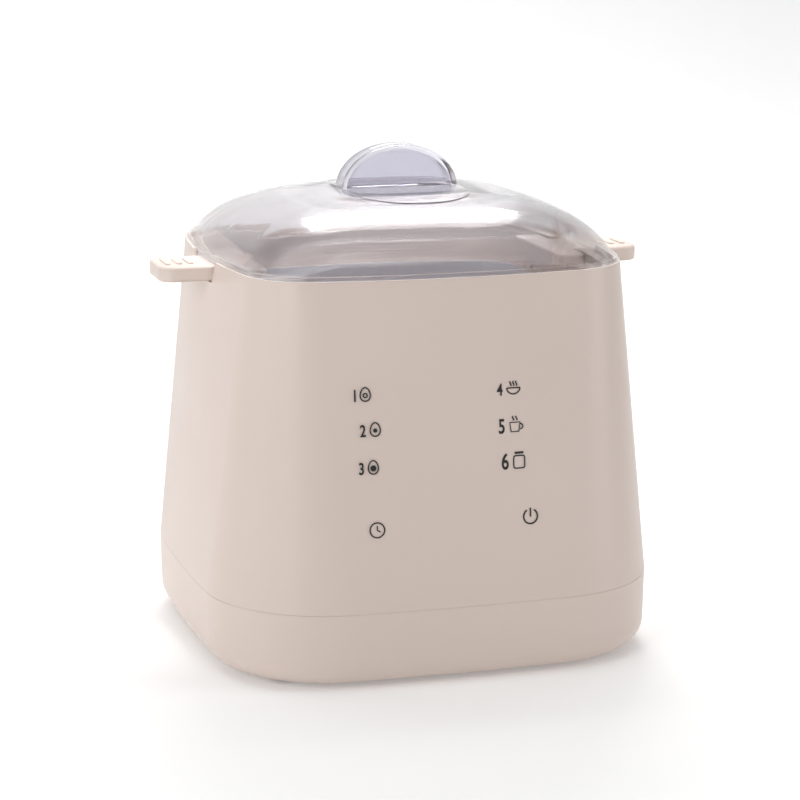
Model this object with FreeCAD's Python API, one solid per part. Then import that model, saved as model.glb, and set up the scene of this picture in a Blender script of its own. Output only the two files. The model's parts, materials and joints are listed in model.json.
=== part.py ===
"""Electric egg cooker: a tapered rounded-square housing, a fixed steel pan over a heater,
a lift-out egg rack whose two handles rest in notches of the rim, and a clear domed lid.

The part's frame has +Z up, -Y towards the user (the side with the touch keys) and its origin
on the table, under the middle of the body. All lengths are in millimetres.
"""
import FreeCAD, Part
import math
import os
from collections import namedtuple

V = FreeCAD.Vector
UP = V(0, 0, 1)
BACK = V(0, 1, 0)
RIGHT = V(1, 0, 0)

# A rounded square: half its width at the middle of a side, the radius of the slightly
# bowed sides, and the radius of the corners.
Outline = namedtuple("Outline", "half side_r corner_r")

# Housing
FOOT_DROP = 2.0            # the feet stand this far out of the base
SEAM_Z = 31.0              # joint between base and shell
RIM_Z = 155.0              # top edge of the shell
WALL = 2.6                 # housing wall
FLOOR_WALL = 2.6           # base floor
SEAM = Outline(90.0, 834.0, 48.7)
RIM = Outline(79.0, 320.0, 28.0)
BASE_DRAFT = 0.8           # the base narrows this much towards the floor
BOTTOM_ROUND = 9.3         # radius of the edge between base wall and floor
SEAM_GROOVE = 0.4          # height and depth of the shadow line at the joint
GROOVE_DEPTH = 0.5
LAP_WALL = 1.6             # upstand of the base inside the shell
LAP_HEIGHT = 5.0
FIT = 0.25                 # clearance between fixed pieces that slide into each other

# Rim, collar and pan
LIP_WALL = 1.0             # thin lip that keeps the lid in place
LIP_HEIGHT = 1.8
COLLAR_FLANGE = 2.4        # thickness of the collar's top flange
COLLAR_WALL = 2.2
COLLAR_INSET = 7.0         # inner face of the collar, inside the rim's outline
COLLAR_LEDGE_Z = 135.4     # top of the ledge that carries the pan
COLLAR_LEDGE = 2.0
GASKET = 0.8
PAN_SHEET = 0.8
PAN_INSET = 9.0            # pan wall, inside the rim's outline, at its top
PAN_TAPER = 3.0
PAN_FLOOR_Z = 52.0         # underside of the pan's floor
PAN_ROUND = 8.0
LUG_COUNT = 8
LUG_Y = 38.0               # snap lugs, this far from the middle of each side
LUG_WIDTH = 8.0
LUG_HEIGHT = 2.7
LUG_GRIP = 1.1             # overlap of lug and ledge
LEDGE_HEIGHT = 1.6
LEDGE_RISE = 6.0           # underside of the ledges, above the pan's ledge

# Handle notches in the rim
HANDLE_WIDTH = 27.0
HANDLE_THICK = 6.0
HANDLE_TIP_X = 98.6
HANDLE_CORNER = 6.0
HANDLE_EDGE = 1.0
HANDLE_TOP_GAP = 0.2       # between handle and the lid above it
NOTCH_GAP_TOP = 6.0
NOTCH_GAP_FLOOR = 2.5
NOTCH_ROUND = 1.6
NOTCH_SHELL_DROP = 0.4     # the shell's notch is this much deeper than the collar's

# Egg rack
ROOT_LENGTH = 56.0         # handle root, along Y
ROOT_INNER_X = 59.5
ROOT_THICK = 5.0
ROOT_GAP = 0.5             # to the collar
ROOT_END_GAP = 1.4         # more room where the collar's side is bowed
ROOT_CORNER = 2.5
ROOT_EDGE = 0.8
STUB_OVERLAP = 4.0         # the grip starts this far outside the root's inner face
STRAP_WIDTH = 46.0
STRAP_THICK = 2.5
STRAP_FACE_X = 66.0        # outer face of the strap at its top
STRAP_LEAN = 1.2           # the strap leans inwards this much towards the plate
STRAP_SLOTS = 4
STRAP_SLOT = (3.6, 30.0)   # width and height
STRAP_CORNER = 5.0
RIB_COUNT = 3
RIB_PITCH = 4.5
RIB_WIDTH = 2.2
RIB_HEIGHT = 0.6
RIB_LENGTH = 13.5
FIRST_RIB_X = 85.2
PLATE_Z = 92.0             # top face of the egg plate
PLATE_SHEET = 1.0
PLATE_INSET = 13.8         # edge of the plate, inside the rim's outline
EGG_HOLE_R = 18.5
EGG_PITCH = 46.5
EGG_LIP = 2.0              # height of the drawn lip round each egg hole
EGG_LIP_WALL = 0.9
STEAM_HOLE_R = 2.5
STEAM_RING_R = 26.8
TAB_HEIGHT = 16.0          # brackets between plate and straps
TAB_INSET = 3.0
TONGUE = (5.0, 7.0)        # foot of a bracket: length and width
RIVET_R = 1.2
RIVET_HEAD_R = 2.2
RIVET_HEAD = 0.7
RACK_SCREW_R = 1.5
RACK_SCREW_SPREAD = 30.0

# Lid
LID_WALL = 2.2
DOME_Z = 149.2             # level where the dome's profile is upright
DOME = Outline(78.0, 283.0, 40.0)
EDGE = Outline(78.0, 319.0, 27.0)       # shape of its edge, before it bends to the dome's
EDGE_SHARE = 0.13                       # the lid's edge is at this share of the dome's height
BLEND_SHARE = 0.47                      # above this share it has the dome's rounder corners
DOME_HEIGHT = 30.7
DOME_POWER = 2.45
DOME_STEPS = (EDGE_SHARE, 0.30, BLEND_SHARE, 0.60, 0.72, 0.82, 0.90, 0.95, 0.978)
SEAT_WIDTH = 47.0          # raised oval that the grip stands on
SEAT_LENGTH = 78.0
SEAT_CORNER = 21.0
SEAT_RISE = 0.5
GRIP_HALF = 23.7
GRIP_TOP_Z = 196.4
GRIP_FOOT_Z = 179.2
GRIP_LEG = 5.0             # straight sides below the arch, down into the dome
GRIP_THICK = 11.0
GRIP_BORDER = 2.4          # raised border round the grip's two faces
GRIP_POCKET = 0.7
GRIP_EDGE = 0.9
POCKET_RISE = 0.1          # foot of the grip's sunk faces above the seat
BEAD_HEIGHT = 1.5          # flat bead round the lid's edge, over the lip of the rim
BEAD_INSET = 0.5           # its outer face, inside the rim's outline
BEAD_GAP = 0.15
BEAD_EDGE = 0.4
VENT_R = 2.0
VENT_Y = 52.0
VENT_SPREAD = 9.0

# Heater
HEAT_PLATE_R = 58.0
HEAT_PLATE_THICK = 5.0
HEAT_RIB = (36.0, 50.0, 6.0)       # inner radius, outer radius, depth of the cast ring
TUBE_PATH_R = 43.0
TUBE_R = 3.3
TUBE_SPAN = 300.0
TUBE_END = 13.0
BLADE = (0.8, 6.3, 8.0)            # flat terminal: thickness, width, length
SHIELD_R = 68.0
SHIELD_SHEET = 0.6
SHIELD_Z = 34.0
SHIELD_RIM = 5.0
SHIELD_HOLE_R = 17.0
SPACER_R = 3.0
SPACER_RING_R = 54.0
NUT_R = 3.2
NUT_THICK = 2.4
THERMOSTAT_R = 8.5
THERMOSTAT_HEIGHT = 7.0
FUSE_R = 2.2
FUSE_LENGTH = 14.0
FUSE_Y = 25.0
SENSOR_R = 2.5
SENSOR_LENGTH = 9.0
SENSOR_Y = -24.0

# Base contents
BOSS_XY = 65.0             # screw bosses, on the diagonals
BOSS_R = 4.5
BOSS_TOP_Z = 33.0
POST_R = 4.0
POST_TOP_Z = 60.0
SCREW_R = 1.7
SCREW_HEAD_R = 3.2
SCREW_HEAD = 2.4
SCREW_LENGTH = 20.0
BOSS_WEB = 4.0             # plastic between screw head and shell post
FOOT_XY = 54.0
FOOT_R = 7.0
FOOT_RECESS = 1.4
VENT_SLOTS = 9
VENT_SLOT = (2.4, 34.0)
VENT_PITCH = 6.0
VENT_ROW_Y = 44.0
BOARD = (96.0, 56.0, 1.6)
BOARD_Y = -26.0
BOARD_Z = 11.0
BOARD_HOLE = (88.0, 48.0)
BOARD_BOSS_R = 3.4
SMALL_SCREW_R = 1.2
SMALL_HEAD_R = 2.5
SMALL_HEAD = 1.6
RELAY = (19.0, 15.5, 15.4)
TRANSFORMER = (22.0, 19.0, 13.0)
CAN_R = 5.0
CAN_HEIGHT = 14.0
FILM_CAP = (18.0, 7.5, 13.0)

# Mains inlet in the back of the base
INLET_FLANGE = (31.0, 22.4, 1.8)
INLET_BODY = (27.0, 19.0, 21.0)
INLET_CAVITY = (24.2, 16.4, 16.0)
INLET_CHAMFER = 5.0
INLET_Z = 17.6
INLET_SEAT_Y = 87.6
PIN = (2.0, 4.0, 17.0)             # width, height, length
PIN_SPREAD = 7.0
PIN_RISE = 2.0

# Touch control behind the front wall
KEY_X = 27.0
KEY_ROWS = (112.0, 98.0, 84.0, 62.0)
KEY_R = 4.5
CONTROL = (100.0, 72.0, 1.6)
CONTROL_MID_Z = 86.0
CONTROL_STANDOFF = 6.0
CONTROL_HOLE = (92.0, 64.0)
CONTROL_BOSS_R = 3.2
DISPLAY = (26.0, 14.0, 5.2)
DISPLAY_Z = 72.0
PAD_GAP = 0.6

# Levels and sizes that follow from the ones above
BASE_Z = FOOT_DROP
FLOOR_Z = BASE_Z + FLOOR_WALL
LID_Z = RIM_Z - LIP_HEIGHT                  # the lid's edge stands on the collar here
COLLAR_STEP_Z = LID_Z - COLLAR_FLANGE       # the collar's flange rests on the shell here
HANDLE_TOP_Z = LID_Z - HANDLE_TOP_GAP
HANDLE_Z = HANDLE_TOP_Z - HANDLE_THICK      # the handle rests on the collar here
PAN_TOP_Z = COLLAR_LEDGE_Z + GASKET + PAN_SHEET
PLATE_UNDER_Z = PLATE_Z - PLATE_SHEET
SCREW_SEAT_Z = BOSS_TOP_Z - BOSS_WEB
HEAT_UNDER_Z = PAN_FLOOR_Z - HEAT_PLATE_THICK
FLOOR = Outline(SEAM.half - BASE_DRAFT, SEAM.side_r - BASE_DRAFT, SEAM.corner_r - BASE_DRAFT)
WALL_LEAN = math.degrees(math.atan2(SEAM.half - RIM.half, RIM_Z - SEAM_Z))


def inset(outline, distance):
    """The outline parallel to this one, a distance inside it."""
    return Outline(*(size - distance for size in outline))


def scaled(outline, factor):
    return Outline(*(size * factor for size in outline))


def shell_outline(z):
    """The shell's outer outline at height z."""
    share = (z - SEAM_Z) / (RIM_Z - SEAM_Z)
    return Outline(*(low + (high - low) * share for low, high in zip(SEAM, RIM)))


def outline_wire(outline, z):
    """The outline as a closed wire of four side arcs and four corner arcs at height z."""
    side_centre = outline.half - outline.side_r
    reach = outline.side_r - outline.corner_r
    corner = (side_centre + math.sqrt(2 * reach ** 2 - side_centre ** 2)) / 2
    turn = math.atan2(corner, corner - side_centre)

    def on_side(angle):
        return V(side_centre + outline.side_r * math.cos(angle), outline.side_r * math.sin(angle), z)

    def on_corner(angle):
        return V(corner + outline.corner_r * math.cos(angle),
                 corner + outline.corner_r * math.sin(angle), z)

    side = Part.Arc(on_side(-turn), on_side(0), on_side(turn)).toShape()
    bend = Part.Arc(on_side(turn), on_corner(math.pi / 4), on_corner(math.pi / 2 - turn)).toShape()
    edges = []
    for quarter in range(4):
        for edge in (side, bend):
            turned = edge.copy()
            turned.rotate(V(0, 0, 0), UP, 90 * quarter)
            edges.append(turned)
    return Part.Wire(edges)


def loft(levels, ruled=True):
    """A solid through (outline, z) levels."""
    return Part.makeLoft([outline_wire(outline, z) for outline, z in levels], True, ruled)


def prism(outline, z, height):
    return Part.Face(outline_wire(outline, z)).extrude(V(0, 0, height))


def ring(outer, inner, z, height):
    return prism(outer, z, height).cut(prism(inner, z, height))


def cylinder(radius, height, at, direction=UP):
    return Part.makeCylinder(radius, height, at, direction)


def box(size, centre, z):
    """A box of size (x, y, z) standing at height z, with its middle at centre (x, y)."""
    return Part.makeBox(size[0], size[1], size[2],
                        V(centre[0] - size[0] / 2, centre[1] - size[1] / 2, z))


def rounded_face(width, length, radius, z):
    """A rectangle with round corners, middle on the Z axis."""
    x, y, r = width / 2, length / 2, radius
    k = r * (1 - math.sqrt(0.5))
    corners = [
        (V(x, y - r, z), V(x - k, y - k, z), V(x - r, y, z)),
        (V(-x + r, y, z), V(-x + k, y - k, z), V(-x, y - r, z)),
        (V(-x, -y + r, z), V(-x + k, -y + k, z), V(-x + r, -y, z)),
        (V(x - r, -y, z), V(x - k, -y + k, z), V(x, -y + r, z)),
    ]
    edges = []
    for i, (start, middle, end) in enumerate(corners):
        edges.append(Part.Arc(start, middle, end).toShape())
        following = corners[(i + 1) % 4][0]
        if end.distanceToPoint(following) > 1e-6:
            edges.append(Part.LineSegment(end, following).toShape())
    return Part.Face(Part.Wire(edges))


def rounded_plate(width, length, radius, z, height):
    return rounded_face(width, length, radius, z).extrude(V(0, 0, height))


def four_corners(x, y):
    return [(sx * x, sy * y) for sx in (1, -1) for sy in (1, -1)]


def edges_where(shape, test):
    """The shape's edges whose bounding box passes a test."""
    return [e for e in shape.Edges if test(e.BoundBox)]


def flat_at(z):
    """A test for edges that lie at height z."""
    return lambda b: abs(b.ZMin - z) < 1e-3 and abs(b.ZMax - z) < 1e-3


def one_solid(shape):
    """The shape with its split faces joined, as a plain solid."""
    shape = shape.removeSplitter()
    if shape.ShapeType != "Solid" and len(shape.Solids) == 1:
        return shape.Solids[0]
    return shape


def side_reach(outline, across):
    """How far the middle stretch of a side reaches out, this far from its middle."""
    return outline.half - outline.side_r + math.sqrt(outline.side_r ** 2 - across ** 2)


def rounded_cup(low, high, z_low, z_high, radius):
    """A tapered block whose bottom edge is rounded."""
    block = loft([(low, z_low), (high, z_high)])
    return block.makeFillet(radius, edges_where(block, flat_at(z_low)))


def notch_cutter(floor_z):
    """The space that each handle lifts out through: wider at the top, with round corners."""
    half_floor = HANDLE_WIDTH / 2 + NOTCH_GAP_FLOOR
    half_top = HANDLE_WIDTH / 2 + NOTCH_GAP_TOP
    top = RIM_Z + 1
    x = RIM.half + WALL
    points = [V(-x, -half_floor, floor_z), V(-x, half_floor, floor_z),
              V(-x, half_top, top), V(-x, -half_top, top)]
    block = Part.Face(Part.makePolygon(points + points[:1])).extrude(V(2 * x, 0, 0))
    low_edges = edges_where(block, lambda b: flat_at(floor_z)(b) and b.XLength > x)
    block = block.makeFillet(NOTCH_ROUND, low_edges)
    gap = ROOT_INNER_X
    return block.cut(Part.makeBox(2 * gap, 4 * half_top, 2 * (top - floor_z) + 10,
                                  V(-gap, -2 * half_top, floor_z - 5)))


def make_base_tub():
    """The lower housing, with its bosses, feet recesses, floor vents and inlet opening."""
    outer = rounded_cup(FLOOR, SEAM, BASE_Z, SEAM_Z, BOTTOM_ROUND)
    inner = rounded_cup(inset(FLOOR, WALL), inset(SEAM, WALL), FLOOR_Z, SEAM_Z + 1,
                        BOTTOM_ROUND - WALL)
    lap_outer = inset(shell_outline(SEAM_Z), WALL + FIT)
    lap_top = inset(shell_outline(SEAM_Z + LAP_HEIGHT), WALL + FIT)
    lap = loft([(inset(SEAM, WALL - 0.5), SEAM_Z - LAP_HEIGHT), (lap_outer, SEAM_Z - 0.5),
                (lap_outer, SEAM_Z), (lap_top, SEAM_Z + LAP_HEIGHT)])
    lap_bore = loft([(inset(SEAM, WALL + LAP_WALL), SEAM_Z - LAP_HEIGHT - 1),
                     (inset(lap_top, LAP_WALL), SEAM_Z + LAP_HEIGHT + 1)])
    tub = outer.cut(inner).fuse(lap.cut(lap_bore))
    groove = ring(Outline(SEAM.half + 2, SEAM.side_r + 2, SEAM.corner_r + 2),
                  inset(SEAM, GROOVE_DEPTH), SEAM_Z - SEAM_GROOVE, SEAM_GROOVE)
    tub = tub.cut(groove)
    adds, cuts = [], []
    for x, y in four_corners(BOSS_XY, BOSS_XY):
        adds.append(cylinder(BOSS_R, BOSS_TOP_Z - FLOOR_Z + 0.5, V(x, y, FLOOR_Z - 0.5)))
        cuts.append(cylinder(SCREW_R + 0.3, BOSS_TOP_Z, V(x, y, 0)))
        cuts.append(cylinder(SCREW_HEAD_R + 0.3, SCREW_SEAT_Z, V(x, y, 0)))
    for x, y in four_corners(FOOT_XY, FOOT_XY):
        cuts.append(cylinder(FOOT_R + FIT, FOOT_RECESS, V(x, y, BASE_Z)))
    for x, y in four_corners(BOARD_HOLE[0] / 2, BOARD_HOLE[1] / 2):
        at = V(x, y + BOARD_Y, FLOOR_Z)
        adds.append(cylinder(BOARD_BOSS_R, BOARD_Z - FLOOR_Z, at))
        cuts.append(cylinder(SMALL_SCREW_R + 0.05, BOARD_Z - FLOOR_Z, at))
    for i in range(VENT_SLOTS):
        x = (i - (VENT_SLOTS - 1) / 2) * VENT_PITCH
        slot = rounded_plate(VENT_SLOT[0], VENT_SLOT[1], VENT_SLOT[0] / 2, BASE_Z, FLOOR_WALL)
        slot.translate(V(x, VENT_ROW_Y, 0))
        cuts.append(slot)
    tub = tub.fuse(adds).cut(cuts)
    return one_solid(tub.cut([inlet_opening(), inlet_seat()]))


def inlet_opening():
    return box((INLET_BODY[0] + 2 * FIT, 30, INLET_BODY[1] + 2 * FIT), (0, SEAM.half - 10),
               INLET_Z - INLET_BODY[1] / 2 - FIT)


def inlet_seat():
    """A flat recess in the back wall for the inlet's flange."""
    return box((INLET_FLANGE[0] + 2 * FIT, 10, INLET_FLANGE[1] + 2 * FIT),
               (0, INLET_SEAT_Y + 5), INLET_Z - INLET_FLANGE[1] / 2 - FIT)


def make_outer_shell():
    """The tapered upper housing: lip, step for the collar, handle notches, inner posts."""
    outer = loft([(SEAM, SEAM_Z), (RIM, RIM_Z)])
    over = shell_outline(RIM_Z + 1)
    inner = loft([(inset(SEAM, WALL), SEAM_Z), (inset(over, WALL), RIM_Z + 1)])
    shell = outer.cut(inner)
    shell = shell.cut(prism(inset(RIM, LIP_WALL), COLLAR_STEP_Z, RIM_Z))
    posts = [shell_post(x, y) for x, y in four_corners(BOSS_XY, BOSS_XY)]
    keep = prism(inset(SEAM, -5), SEAM_Z, RIM_Z)
    skin = outer.common(keep)
    shell = shell.fuse([post.common(skin) for post in posts] + control_bosses(skin))
    holes = [cylinder(SCREW_R + 0.05, SCREW_LENGTH, V(x, y, BOSS_TOP_Z))
             for x, y in four_corners(BOSS_XY, BOSS_XY)]
    shell = shell.cut(holes + control_screw_holes())
    shell = shell.fuse(lug_ledges())
    return one_solid(shell.cut(notch_cutter(HANDLE_Z - NOTCH_SHELL_DROP)))


def shell_post(x, y):
    """A screw post in one corner of the shell, with a web to the corner."""
    post = cylinder(POST_R, POST_TOP_Z - BOSS_TOP_Z, V(x, y, BOSS_TOP_Z))
    web = Part.makeBox(30, 2, POST_TOP_Z - BOSS_TOP_Z - LAP_HEIGHT,
                       V(0, -1, BOSS_TOP_Z + LAP_HEIGHT))
    web.rotate(V(0, 0, 0), UP, math.degrees(math.atan2(y, x)))
    web.translate(V(x, y, 0))
    return post.fuse(web)


def around_rim(make):
    """Copies of a piece made on the +X side, two on each side of the square."""
    shapes = []
    for i in range(LUG_COUNT):
        shape = make(LUG_Y if i % 2 else -LUG_Y)
        shape.rotate(V(0, 0, 0), UP, 90 * (i // 2))
        shapes.append(shape)
    return shapes


def block_between(x_low, x_high, y, width, z, height):
    return Part.makeBox(x_high - x_low, width, height, V(x_low, y - width / 2, z))


def ledge_face():
    """Where the shell's inner face is, beside a lug."""
    return side_reach(inset(shell_outline(COLLAR_LEDGE_Z + LEDGE_RISE), WALL), LUG_Y)


def lug_ledges():
    """Ledges in the shell that the collar's lugs snap under."""
    def ledge(y):
        return block_between(ledge_face() - 2 * LUG_GRIP, ledge_face() + WALL / 2, y,
                             LUG_WIDTH + 2, COLLAR_LEDGE_Z + LEDGE_RISE, LEDGE_HEIGHT)
    return around_rim(ledge)


def make_inner_collar():
    """The cream ring inside the rim: top flange, upright wall, and the ledge for the pan."""
    inner = inset(RIM, COLLAR_INSET)
    wall_outer = inset(RIM, COLLAR_INSET - COLLAR_WALL)
    flange = prism(inset(RIM, LIP_WALL + FIT), COLLAR_STEP_Z, COLLAR_FLANGE)
    ledge_z = COLLAR_LEDGE_Z - COLLAR_LEDGE
    body = flange.fuse(prism(wall_outer, ledge_z, LID_Z - ledge_z))
    body = body.cut(prism(inner, COLLAR_LEDGE_Z, RIM_Z))
    body = body.cut(prism(inset(RIM, PAN_INSET - 0.5), ledge_z, RIM_Z))
    wall_face = side_reach(wall_outer, LUG_Y)

    def lug(y):
        return block_between(wall_face - COLLAR_WALL / 2, ledge_face() - LUG_GRIP, y, LUG_WIDTH,
                             COLLAR_LEDGE_Z + LEDGE_RISE - LUG_HEIGHT, LUG_HEIGHT)
    body = body.fuse(around_rim(lug))
    return one_solid(body.cut(notch_cutter(HANDLE_Z)))


def make_pan_gasket():
    return ring(inset(RIM, COLLAR_INSET + FIT), inset(RIM, PAN_INSET - 0.5),
                COLLAR_LEDGE_Z, GASKET)


def make_steel_pan():
    """A drawn steel pan with a flat flange."""
    top, low = inset(RIM, PAN_INSET), inset(RIM, PAN_INSET + PAN_TAPER)
    outer = rounded_cup(low, top, PAN_FLOOR_Z, PAN_TOP_Z, PAN_ROUND)
    flange = prism(inset(RIM, COLLAR_INSET + FIT), PAN_TOP_Z - PAN_SHEET, PAN_SHEET)
    inner = rounded_cup(inset(low, PAN_SHEET), inset(top, PAN_SHEET),
                        PAN_FLOOR_Z + PAN_SHEET, PAN_TOP_Z + 1, PAN_ROUND - PAN_SHEET)
    return one_solid(outer.fuse(flange).cut(inner))


def heater_path():
    """The tube's round part and its two straight ends, as one swept solid."""
    z = HEAT_UNDER_Z - TUBE_R
    start = math.radians(-90 + (360 - TUBE_SPAN) / 2)
    end = start + math.radians(TUBE_SPAN)

    def on_ring(angle):
        return V(TUBE_PATH_R * math.cos(angle), TUBE_PATH_R * math.sin(angle), z)
    return z, start, end, on_ring


def make_heater_tube():
    """A C-shaped heating tube with flat terminals on its straight ends."""
    z, start, end, on_ring = heater_path()
    tube = Part.makeTorus(TUBE_PATH_R, TUBE_R, V(0, 0, z), UP, -180, 180, TUBE_SPAN)
    tube.rotate(V(0, 0, 0), UP, math.degrees(start))
    pieces = [tube]
    for angle, sense in ((start, -1), (end, 1)):
        along = V(-math.sin(angle) * sense, math.cos(angle) * sense, 0)
        at = on_ring(angle)
        pieces.append(cylinder(TUBE_R, TUBE_END, at, along))
        blade = Part.makeBox(BLADE[2] + 1, BLADE[0], BLADE[1], V(0, -BLADE[0] / 2, -BLADE[1] / 2))
        blade.rotate(V(0, 0, 0), UP, math.degrees(math.atan2(along.y, along.x)))
        blade.translate(at + along * (TUBE_END - 1))
        pieces.append(blade)
    return one_solid(pieces[0].fuse(pieces[1:]))


def make_heating_plate():
    """A cast disc with a ring on its underside that holds the tube in a groove."""
    z, start, end, on_ring = heater_path()
    plate = cylinder(HEAT_PLATE_R, HEAT_PLATE_THICK, V(0, 0, HEAT_UNDER_Z))
    inner, outer, depth = HEAT_RIB
    cast = cylinder(outer, depth, V(0, 0, HEAT_UNDER_Z - depth))
    cast = cast.cut(cylinder(inner, depth, V(0, 0, HEAT_UNDER_Z - depth)))
    gap = Part.makeBox(2 * TUBE_PATH_R * math.sin(math.radians((360 - TUBE_SPAN) / 2)),
                       outer, depth,
                       V(-TUBE_PATH_R * math.sin(math.radians((360 - TUBE_SPAN) / 2)),
                         -outer, HEAT_UNDER_Z - depth))
    groove = Part.makeTorus(TUBE_PATH_R, TUBE_R + 0.05, V(0, 0, z), UP)
    bed = ring_of_box(TUBE_PATH_R, TUBE_R + 0.05, z - depth, z)
    plate = plate.fuse(cast.cut(gap)).cut([groove, bed])
    for x, y in spacer_places():
        plate = plate.cut(cylinder(SMALL_SCREW_R + 0.05, 4, V(x, y, HEAT_UNDER_Z)))
    return one_solid(plate)


def ring_of_box(path_r, half_width, z_low, z_high):
    """A ring of rectangular section."""
    height = z_high - z_low
    outer = cylinder(path_r + half_width, height, V(0, 0, z_low))
    return outer.cut(cylinder(path_r - half_width, height, V(0, 0, z_low)))


def spacer_places():
    turns = [math.radians(90 + 120 * i) for i in range(3)]
    return [(SPACER_RING_R * math.cos(t), SPACER_RING_R * math.sin(t)) for t in turns]


def make_heat_shield():
    """A shallow sheet dish under the heater, with a hole for the thermostat."""
    dish = cylinder(SHIELD_R, SHIELD_RIM, V(0, 0, SHIELD_Z))
    inside = cylinder(SHIELD_R - SHIELD_SHEET, SHIELD_RIM, V(0, 0, SHIELD_Z + SHIELD_SHEET))
    dish = dish.cut([inside, cylinder(SHIELD_HOLE_R, SHIELD_RIM, V(0, 0, SHIELD_Z))])
    holes = [cylinder(SMALL_SCREW_R + 0.2, 2, V(x, y, SHIELD_Z - 1)) for x, y in spacer_places()]
    return one_solid(dish.cut(holes))


def make_shield_spacers():
    """Three spacers with studs that go up into the heating plate and down to the nuts."""
    low = SHIELD_Z + SHIELD_SHEET
    solids = []
    for x, y in spacer_places():
        body = cylinder(SPACER_R, HEAT_UNDER_Z - low, V(x, y, low))
        stud = cylinder(SMALL_SCREW_R, HEAT_UNDER_Z + 3.5 - (SHIELD_Z - NUT_THICK - 1),
                        V(x, y, SHIELD_Z - NUT_THICK - 1))
        solids.append(one_solid(body.fuse(stud)))
    return Part.makeCompound(solids)


def hexagon(radius, height, at):
    points = [V(at.x + radius * math.cos(math.radians(60 * i)),
                at.y + radius * math.sin(math.radians(60 * i)), at.z) for i in range(7)]
    return Part.Face(Part.makePolygon(points)).extrude(V(0, 0, height))


def make_shield_nuts():
    nuts = []
    for x, y in spacer_places():
        at = V(x, y, SHIELD_Z - NUT_THICK)
        nuts.append(hexagon(NUT_R, NUT_THICK, at).cut(cylinder(SMALL_SCREW_R + 0.05, NUT_THICK, at)))
    return Part.makeCompound(nuts)


def make_thermostat():
    """A snap-disc thermostat with its flange against the heating plate."""
    body = cylinder(THERMOSTAT_R, THERMOSTAT_HEIGHT, V(0, 0, HEAT_UNDER_Z - THERMOSTAT_HEIGHT))
    flange = rounded_plate(30, 9, 4.4, HEAT_UNDER_Z - 1, 1)
    blades = [box((BLADE[1], BLADE[0], BLADE[2]), (0, y),
                  HEAT_UNDER_Z - THERMOSTAT_HEIGHT - BLADE[2] + 0.5) for y in (-5, 5)]
    return one_solid(body.fuse([flange] + blades))


def make_thermal_fuse():
    z = HEAT_UNDER_Z - FUSE_R
    body = cylinder(FUSE_R, FUSE_LENGTH, V(-FUSE_LENGTH / 2, FUSE_Y, z), RIGHT)
    lead = cylinder(0.6, FUSE_LENGTH + 12, V(-FUSE_LENGTH / 2 - 6, FUSE_Y, z), RIGHT)
    return one_solid(body.fuse(lead))


def make_fuse_clip():
    """A bent strap that presses the fuse against the plate, with its screw tab."""
    z = HEAT_UNDER_Z - FUSE_R
    sheet = 0.8
    saddle = cylinder(FUSE_R + sheet, 6, V(-3, FUSE_Y, z), RIGHT)
    tab = box((6, 18, sheet), (0, FUSE_Y - 2), HEAT_UNDER_Z - sheet)
    clip = saddle.fuse(tab)
    clip = clip.cut([cylinder(FUSE_R + 0.05, 8, V(-4, FUSE_Y, z), RIGHT),
                     box((8, 2 * FUSE_R + 0.1, FUSE_R), (0, FUSE_Y), z),
                     box((8, 30, 10), (0, FUSE_Y), HEAT_UNDER_Z)])
    return one_solid(clip)


def make_temperature_sensor():
    """A small probe that stands against the plate."""
    tip = cylinder(SENSOR_R, SENSOR_LENGTH, V(0, SENSOR_Y, HEAT_UNDER_Z - SENSOR_LENGTH))
    collar = cylinder(SENSOR_R + 2.5, 1.2, V(0, SENSOR_Y, HEAT_UNDER_Z - 1.2))
    return one_solid(tip.fuse(collar))


def make_rubber_feet():
    feet = []
    for x, y in four_corners(FOOT_XY, FOOT_XY):
        foot = cylinder(FOOT_R, FOOT_DROP + FOOT_RECESS, V(x, y, 0))
        feet.append(foot.makeFillet(0.8, edges_where(foot, flat_at(0))))
    return Part.makeCompound(feet)


def screw(at, radius, length, head_r, head, direction=UP):
    """A screw whose head's inner face is at this point and whose shank goes in the direction."""
    shank = cylinder(radius, length, at, direction)
    cap = cylinder(head_r, head, at - direction * head, direction)
    socket = cylinder(head_r * 0.4, head * 0.5, at - direction * head, direction)
    return one_solid(shank.fuse(cap).cut(socket))


def make_base_screws():
    return Part.makeCompound([
        screw(V(x, y, SCREW_SEAT_Z), SCREW_R, SCREW_LENGTH, SCREW_HEAD_R, SCREW_HEAD)
        for x, y in four_corners(BOSS_XY, BOSS_XY)])


def make_power_board():
    board = box(BOARD, (0, BOARD_Y), BOARD_Z)
    holes = [cylinder(SMALL_SCREW_R + 0.3, BOARD[2], V(x, y + BOARD_Y, BOARD_Z))
             for x, y in four_corners(BOARD_HOLE[0] / 2, BOARD_HOLE[1] / 2)]
    return one_solid(board.cut(holes))


def make_board_screws():
    down = V(0, 0, -1)
    top = BOARD_Z + BOARD[2]
    return Part.makeCompound([
        screw(V(x, y + BOARD_Y, top), SMALL_SCREW_R, 6.5, SMALL_HEAD_R, SMALL_HEAD, down)
        for x, y in four_corners(BOARD_HOLE[0] / 2, BOARD_HOLE[1] / 2)])


def on_board(x, y):
    """A place on the power board, from its middle."""
    return (x, BOARD_Y + y)


def make_relay():
    case = box(RELAY, on_board(-30, -8), BOARD_Z + BOARD[2])
    return case.makeFillet(0.8, edges_where(case, lambda b: b.ZLength > 1))


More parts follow.
